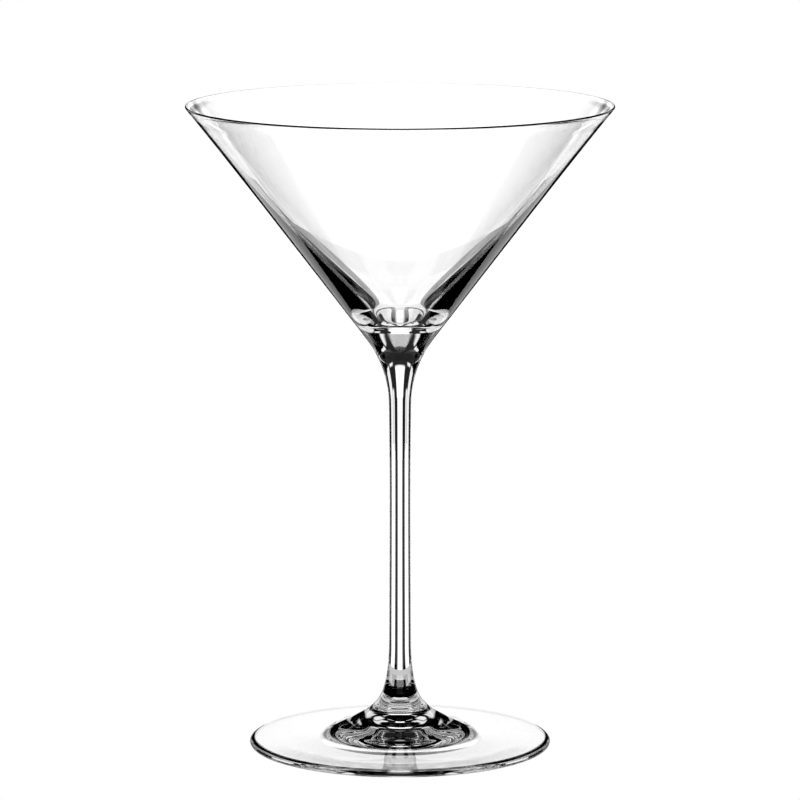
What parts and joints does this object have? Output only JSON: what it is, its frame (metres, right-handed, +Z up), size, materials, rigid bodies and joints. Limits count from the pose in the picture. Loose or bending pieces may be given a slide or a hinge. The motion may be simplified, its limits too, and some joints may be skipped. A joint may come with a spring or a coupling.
{
  "type": "martini glass",
  "caption": "Stemmed cocktail glass: a wide conical bowl on a long slim solid stem, fused to a flat round foot with a raised hub.",
  "frame": {"origin": "on the resting plane, under the centre of the foot", "axes": "+Z up along the stem's axis, from the foot to the rim; the glass is round about Z, so X and Y are equal"},
  "size_m": [0.113, 0.113, 0.172],
  "materials": {
    "clear_glass": "clear fire-polished crystal, uncoloured"
  },
  "bodies": {
    "root": {"foot": "clear_glass", "stem": "clear_glass", "bowl": "clear_glass"}
  },
  "joints": []
}
